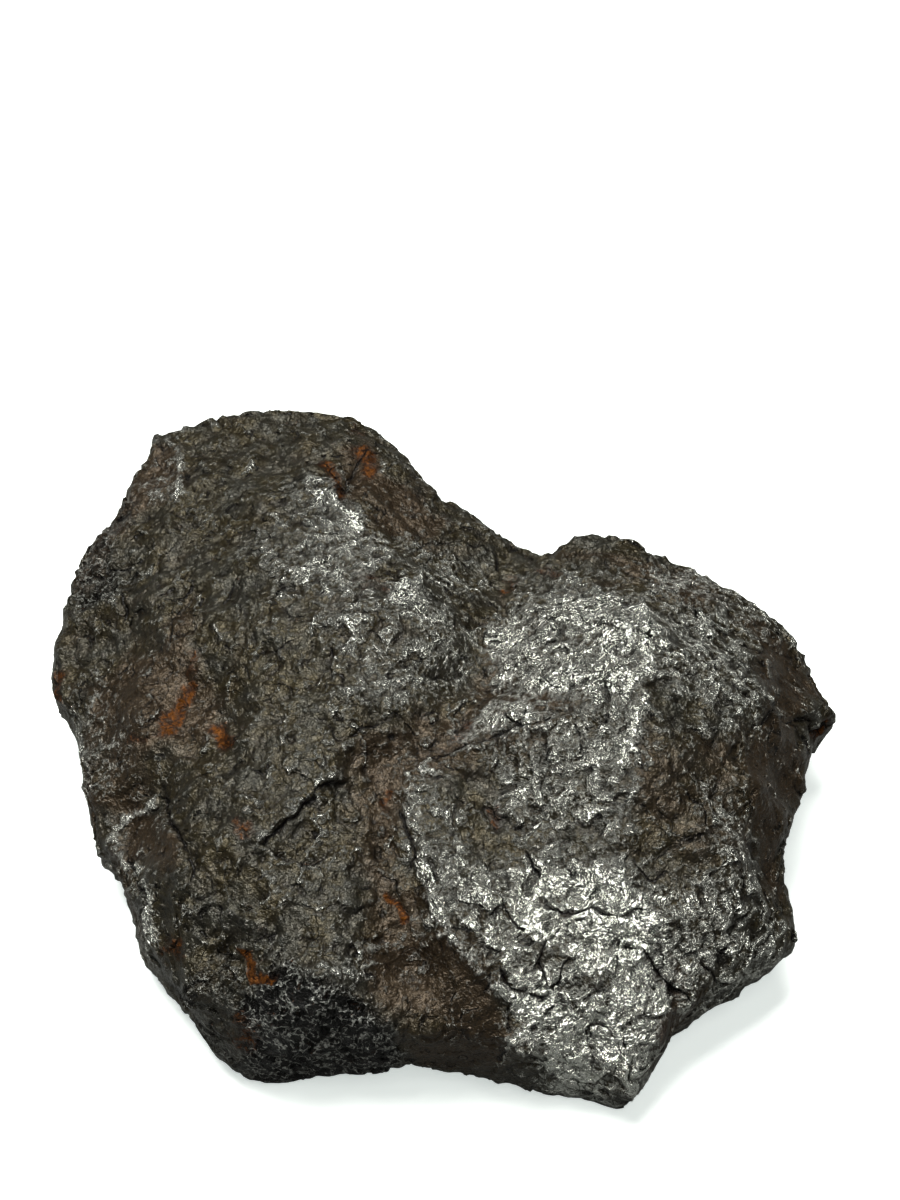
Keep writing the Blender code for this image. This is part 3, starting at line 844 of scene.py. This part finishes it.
class Graph:
    """A node tree, to which nodes are added."""

    def __init__(self, tree):
        self.tree = tree

    def set(self, socket, value):
        """Links a value that is a socket, and writes down any other."""
        if isinstance(value, bpy.types.NodeSocket):
            self.tree.links.new(value, socket)
        else:
            socket.default_value = value

    def add(self, kind, inputs=None, **settings):
        """A node of a kind, with its settings and its inputs."""
        node = self.tree.nodes.new("ShaderNode" + kind)
        for name, value in settings.items():
            setattr(node, name, value)
        for name, value in (inputs or {}).items():
            self.set(node.inputs[name], value)
        return node

    def math(self, operation, *values):
        """One reckoning with numbers."""
        return self.add("Math", dict(enumerate(values)), operation=operation).outputs[0]

    def vectors(self, operation, *values):
        """One reckoning with vectors: its vector, and its number."""
        return self.add("VectorMath", dict(enumerate(values)), operation=operation).outputs

    def sum_of(self, *terms):
        """The sum of value * weight over the terms."""
        total = 0.0
        for value, weight in terms:
            total = self.math("MULTIPLY_ADD", value, weight, total)
        return total

    def stepped(self, value, low, high):
        """0 where the value is below low and 1 above high, with a smooth rise between."""
        inputs = {"Value": value, "From Min": low, "From Max": high}
        return self.add("MapRange", inputs, interpolation_type="SMOOTHSTEP").outputs["Result"]

    def blend(self, share, low, high):
        """Colour low where the share is 0, and high where it is 1."""
        node = self.add("Mix", data_type="RGBA")
        for index, value in zip(BLEND_SOCKETS, (share, low, high)):
            self.set(node.inputs[index], value)
        return node.outputs[BLEND_RESULT]


# Dull oxide, and the coats laid over it in this order: the mask that each one follows, and its colour.
GREY_OXIDE = (0.040, 0.038, 0.029, 1)
METAL = (0.78, 0.79, 0.73, 1)
# Near black: dark cracks, and painted shade in hollows and under ledges.
CREVICE_AND_SHADE = (0.005, 0.004, 0.003, 1)
COATS = (
    ("olive", (0.042, 0.033, 0.015, 1)),
    ("stained", (0.046, 0.031, 0.017, 1)),
    ("metal", METAL),
    ("scorched", (0.005, 0.005, 0.0045, 1)),
    # Metal colour on the wrinkles of burnt skin, partly painted glints.
    ("strand_glints", METAL),
    # Dark oxide and painted shade in the hollows of the relief and at the low points of the grain.
    ("dirt_and_shade", CREVICE_AND_SHADE),
    ("reddened", (0.022, 0.0085, 0.004, 1)),
    ("rusted", (0.15, 0.052, 0.009, 1)),
    # Dark cracks, and painted shadow at the feet of ledges.
    ("cracks", CREVICE_AND_SHADE),
)

# The noises in the skin: swells in a metre, finer detail, roughness and distortion.
NOISES = {
    "cloud": (95.0, 2.0, 0.55, 0.0),
    "patch": (210.0, 3.0, 0.55, 0.0),
    "speckle": (520.0, 3.0, 0.55, 0.0),
    "crumple": (950.0, 3.0, 0.6, 0.5),
    "grain": (2400.0, 2.0, 0.6, 0.5),
}

# Recipes give the weight of each part in a sum, where "level" is a plain 1.
RAGGED = {"cloud": 1.2, "patch": 1.4, "speckle": 1.2, "level": -1.9}
RAGGED_ON_METAL = {"burnish_and_sheen": 0.7, "level": 0.3}
# A mask rises from 0 to 1 while its recipe's sum goes over a range.
MASKS = {
    "olive": ({"patch": 1.0}, (0.35, 0.65)),
    # The metal mask is partly bare metal and partly painted sheen and glints, brightest on the patches,
    # crests and bump peaks.
    "metal": ({
        "burnish_and_sheen": 0.85, "crest": 0.6, "rise": 0.15, "ragged_share": 1.0, "crumple": 2.2, "grain": 1.0,
        "edge": 0.35, "level": -1.6,
    }, (0.2, 1.05)),
    "stained": ({"brown": 0.9, "ragged": -0.5, "patch": 0.4}, (0.15, 0.85)),
    "scorched": ({"scorch": 1.0, "ragged": 0.5}, (0.1, 0.9)),
    "reddened": ({"rust": 1.0, "speckle": 0.9, "crumple": 0.9, "level": -0.9}, (0.1, 1.0)),
    "rusted": ({"rust": 1.0, "speckle": 0.9, "crumple": 2.9, "grain": 2.0, "level": -2.9}, (0.45, 1.6)),
    # Painted shade in the hollows of the relief, and at the low points of the grain bump.
    "sunken_shade": ({"crest": -1.6, "rise": -0.9, "ragged": 0.2}, (0.05, 0.75)),
    "pepper_shade": ({"grain": 1.0}, (0.52, 0.36)),
    "strand": ({"speckle_gap": 1.0, "crumple_gap": 0.35}, (0.07, 0.01)),
}
# How much the hollows and low points are darkened: partly dark oxide, partly painted shade.
DIRT_AND_SHADE = {"sunken_shade": 0.6, "pepper_shade": 0.5}
MOST_DIRT_AND_SHADE = 0.85
METALLIC = {"metal": 0.4, "reddened": 0.25, "level": 0.6}
ROUGHNESS = {"metal": -0.10, "scorched": -0.10, "stained": 0.05, "reddened": 0.3, "level": 0.31}
# Height of the skin in millimetres, and its strength.
HEIGHT = {
    "large_plates": 1.0, "small_plates": 1.0, "speckle": 0.4, "crumple": 0.6, "grain": 0.22, "net": 1.0,
}
LIVELINESS = {"metal": 0.5, "scorched": 0.9, "reddened": -0.15, "level": 0.70}
# Burnt skin has a net of fine wrinkles, which follow where two noises cross a half; the metal colour along
# them is partly painted glints.
NET = {"speckle_gap": -2.0, "crumple_gap": -1.2}
STRAND_SHARE = 0.5
# Tilted plates: their sizes and slope, the swells that make them swirl in a plate's size, and how far
# in plate sizes these shift them.
PLATE_SIZES = (2.0 * MM, 0.9 * MM)
PLATE_SLOPE = 0.18
SWIRL_FINENESS = 0.7
SWIRL_REACH = 1.6
HALF = (0.5, 0.5, 0.5)
# The fine lines of cracks: how far from their middle they fade in, the speckle that breaks them, and
# their depth in millimetres.
CRACK_LINE = (0.22, 0.05)
CRACK_BREAKS = (0.3, 0.5)
CRACK_LINE_DEPTH = 0.3
# The fine lines along ledges, a painted highlight on each crest and a painted shadow at each foot: how much
# they jitter, how they fade in, and the noise that breaks them.
LEDGE_JITTER = 0.3
LEDGE_LINE = (0.07, 0.01)
LEDGE_BREAKS = (0.5, 0.62)
SCALE_CREST_SHARE = 0.7
SCALE_FOOT_SHARE = 0.8


class Skin(Graph):
    """The nodes of the stone's skin, where each number that a recipe may use has a name."""

    def __init__(self, tree, mesh):
        super().__init__(tree)
        self.place = self.add("TexCoord").outputs["Object"]
        self.part = {"level": 1.0}
        for layer in mesh.attributes:
            if layer.data_type == "FLOAT":
                kept = self.add("Attribute", attribute_name=layer.name)
                self.part[layer.name] = kept.outputs["Fac"]
        for name, (scale, detail, roughness, distortion) in NOISES.items():
            noise = self.add("TexNoise", {
                "Vector": self.place, "Scale": scale, "Detail": detail, "Roughness": roughness,
                "Distortion": distortion,
            })
            self.part[name] = noise.outputs["Fac"]

    def total(self, recipe):
        """The sum of part * weight over a recipe."""
        return self.sum_of(*((self.part[name], weight) for name, weight in recipe.items()))

    def away_from_half(self, value):
        """How far the value is from a half: it falls to nothing along crisp wandering lines."""
        return self.math("ABSOLUTE", self.math("SUBTRACT", value, 0.5))

    def ledge_line(self, steps, part_of_step, breaking):
        """A thin line along the ledges, at one part of their steps, broken where the noise is low."""
        to_half = 0.5 - LEDGE_JITTER / 2 - part_of_step
        share = self.math("FRACT", self.total({steps: 1.0, "crumple": LEDGE_JITTER, "level": to_half}))
        line = self.stepped(self.away_from_half(share), *LEDGE_LINE)
        return self.math("MULTIPLY", line, self.stepped(self.part[breaking], *LEDGE_BREAKS))

    def plates(self, size):
        """Height in millimetres of small plates: the way from a plate's middle, times its own tilt."""
        swirl = self.add("TexNoise", {"Vector": self.place, "Scale": SWIRL_FINENESS / size, "Detail": 1.0})
        swirl = self.vectors("SUBTRACT", swirl.outputs["Color"], HALF)[0]
        swirled = self.vectors("MULTIPLY_ADD", swirl, (SWIRL_REACH * size,) * 3, self.place)[0]
        cell = self.add("TexVoronoi", {"Vector": swirled, "Scale": 1 / size})
        reach = self.vectors("SUBTRACT", swirled, cell.outputs["Position"])[0]
        tilt = self.vectors("SUBTRACT", cell.outputs["Color"], HALF)[0]
        rise = self.vectors("DOT_PRODUCT", reach, tilt)["Value"]
        return self.math("MULTIPLY", rise, 2 * PLATE_SLOPE / MM)


def add_lines(skin):
    """Fine lines: painted highlights along the crests of ledges, painted shadow along their feet, and dark
    lines in cracks.
    """
    part = skin.part
    # Painted highlights along the crests of ledges, which the metal mask takes in.
    part["edge"] = skin.sum_of(
        (skin.ledge_line("flake_steps", LEDGE_CREST, "patch"), 1.0),
        (skin.ledge_line("scale_steps", LEDGE_CREST, "speckle"), SCALE_CREST_SHARE),
    )
    # Painted shadow along the feet of ledges.
    feet = skin.sum_of(
        (skin.ledge_line("flake_steps", LEDGE_FOOT, "speckle"), 1.0),
        (skin.ledge_line("scale_steps", LEDGE_FOOT, "patch"), SCALE_FOOT_SHARE),
    )
    line = skin.stepped(skin.math("ABSOLUTE", part["crack_side"]), *CRACK_LINE)
    line = skin.math("MULTIPLY", line, part["crack_depth"])
    line = skin.math("MULTIPLY", line, skin.stepped(part["speckle"], *CRACK_BREAKS))
    # Dark crack lines, together with the painted shadow at the feet of ledges.
    part["cracks"] = skin.math("MAXIMUM", line, feet)


def add_masks(skin):
    """The masks of the coats, and the heights that the masks change."""
    part = skin.part
    part["ragged"] = skin.total(RAGGED)
    part["ragged_share"] = skin.math("MULTIPLY", part["ragged"], skin.total(RAGGED_ON_METAL))
    part["speckle_gap"] = skin.away_from_half(part["speckle"])
    part["crumple_gap"] = skin.away_from_half(part["crumple"])
    for name, (recipe, rise) in MASKS.items():
        part[name] = skin.stepped(skin.total(recipe), *rise)
    strand_share = skin.math("MULTIPLY", part["scorched"], STRAND_SHARE)
    part["strand_glints"] = skin.math("MULTIPLY", part["strand"], strand_share)
    part["dirt_and_shade"] = skin.math("MINIMUM", skin.total(DIRT_AND_SHADE), MOST_DIRT_AND_SHADE)
    part["net"] = skin.math("MULTIPLY", skin.total(NET), part["scorched"])
    part["large_plates"], part["small_plates"] = (skin.plates(size) for size in PLATE_SIZES)


def iron_skin(mesh):
    """Meteoritic iron: dull oxide with brown stains, rubbed to metal on its crests, burnt and rusty. The
    metal is partly painted sheen and glints, and the near black in hollows and at the feet of ledges is
    partly painted shade.
    """
    material = bpy.data.materials.new("meteoritic_iron_skin")
    material.use_nodes = True
    material.node_tree.nodes.clear()
    skin = Skin(material.node_tree, mesh)
    add_lines(skin)
    add_masks(skin)

    colour = GREY_OXIDE
    for mask, coat in COATS:
        colour = skin.blend(skin.part[mask], colour, coat)

    lively = skin.math("MULTIPLY", skin.total(HEIGHT), skin.total(LIVELINESS))
    height = skin.sum_of((lively, 1.0), (skin.part["cracks"], -CRACK_LINE_DEPTH))
    bump = skin.add("Bump", {"Height": height, "Distance": MM, "Strength": 1.0})
    shader = skin.add("BsdfPrincipled", {
        "Base Color": colour, "Metallic": skin.total(METALLIC), "Roughness": skin.total(ROUGHNESS),
        "Normal": bump.outputs["Normal"],
    })
    skin.add("OutputMaterial", {"Surface": shader.outputs["BSDF"]})
    return material


# ---- The stage, in metres.

# The table's colour for the camera, and as the stone mirrors it, and the glow that keeps it pale.
TABLE_HALF = 1.5
TABLE_COLOUR = (0.90, 0.92, 0.91, 1)
TABLE_MIRRORED = (0.20, 0.205, 0.20, 1)
TABLE_ROUGHNESS = 0.75
TABLE_GLOW = 0.6
TABLE_GLOW_COLOUR = (0.93, 1.0, 0.97, 1)

# How strongly the world lights the stone, and how bright it is beyond the table, which it meets
# without a line.
WORLD_COLOUR = (0.935, 1.0, 0.972, 1)
WORLD_FILL = 0.03
WORLD_SEEN = 0.627

# The camera's place in millimetres, how many degrees it looks down, and its lens and film.
CAMERA_PLACE = (1.6, -217.6, 303.0)
CAMERA_ELEVATION = 49.3
LENS = 65.8
FILM_HEIGHT = 36.0

# Soft lights that face the stone: place, width and length, and power in watts.
LIGHTS = {
    "overhead_window": ((-0.12, 0.14, 0.8), (0.5, 0.4), 12.5),
    "front_window": ((0.12, -0.32, 0.75), (0.35, 0.3), 1.3),
}
LIGHT_COLOUR = (1.0, 1.0, 0.96)


def table_surface():
    """Pale matt board, darker in the stone's reflections than it looks."""
    material = bpy.data.materials.new("pale_table")
    material.use_nodes = True
    inputs = material.node_tree.nodes["Principled BSDF"].inputs
    inputs["Roughness"].default_value = TABLE_ROUGHNESS
    inputs["Emission Color"].default_value = TABLE_GLOW_COLOUR
    graph = Graph(material.node_tree)
    seen = graph.add("LightPath").outputs["Is Camera Ray"]
    graph.set(inputs["Emission Strength"], graph.math("MULTIPLY", seen, TABLE_GLOW))
    graph.set(inputs["Base Color"], graph.blend(seen, TABLE_MIRRORED, TABLE_COLOUR))
    return material


def make_table():
    """The square table top that the stone lies on."""
    mesh = bpy.data.meshes.new("table")
    corners = [(-1, -1), (1, -1), (1, 1), (-1, 1)]
    mesh.from_pydata([(x * TABLE_HALF, y * TABLE_HALF, 0) for x, y in corners], [], [(0, 1, 2, 3)])
    mesh.materials.append(table_surface())
    placed("table", mesh)


def make_camera():
    """A camera over the front edge that looks down at the stone."""
    data = bpy.data.cameras.new("camera")
    data.sensor_fit = "VERTICAL"
    data.sensor_height = FILM_HEIGHT
    data.lens = LENS
    camera = placed("camera", data)
    camera.location = Vector(CAMERA_PLACE) * MM
    camera.rotation_euler = (math.radians(90 - CAMERA_ELEVATION), 0, 0)
    bpy.context.scene.camera = camera


def make_light(name, place, size, power):
    """A rectangular soft light that faces the stone."""
    data = bpy.data.lights.new(name, "AREA")
    data.shape = "RECTANGLE"
    data.size, data.size_y = size
    data.energy = power
    data.color = LIGHT_COLOUR
    light = placed(name, data)
    light.location = place
    light.rotation_euler = (-light.location).to_track_quat("-Z", "Y").to_euler()


def make_world():
    """A dim fill all round, which the camera sees as a pale backdrop."""
    world = bpy.data.worlds.new("studio")
    world.use_nodes = True
    inputs = world.node_tree.nodes["Background"].inputs
    inputs["Color"].default_value = WORLD_COLOUR
    graph = Graph(world.node_tree)
    seen = graph.add("LightPath").outputs["Is Camera Ray"]
    graph.set(inputs["Strength"], graph.sum_of((seen, WORLD_SEEN - WORLD_FILL), (WORLD_FILL, 1.0)))
    bpy.context.scene.world = world
    bpy.context.scene.view_settings.view_transform = "Standard"


make_camera()
make_world()
for name, (place, size, power) in LIGHTS.items():
    make_light(name, place, size, power)
make_table()

stone = make_stone()
stone.data.materials.append(iron_skin(stone.data))
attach(stone, "root")
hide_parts("meteorite")
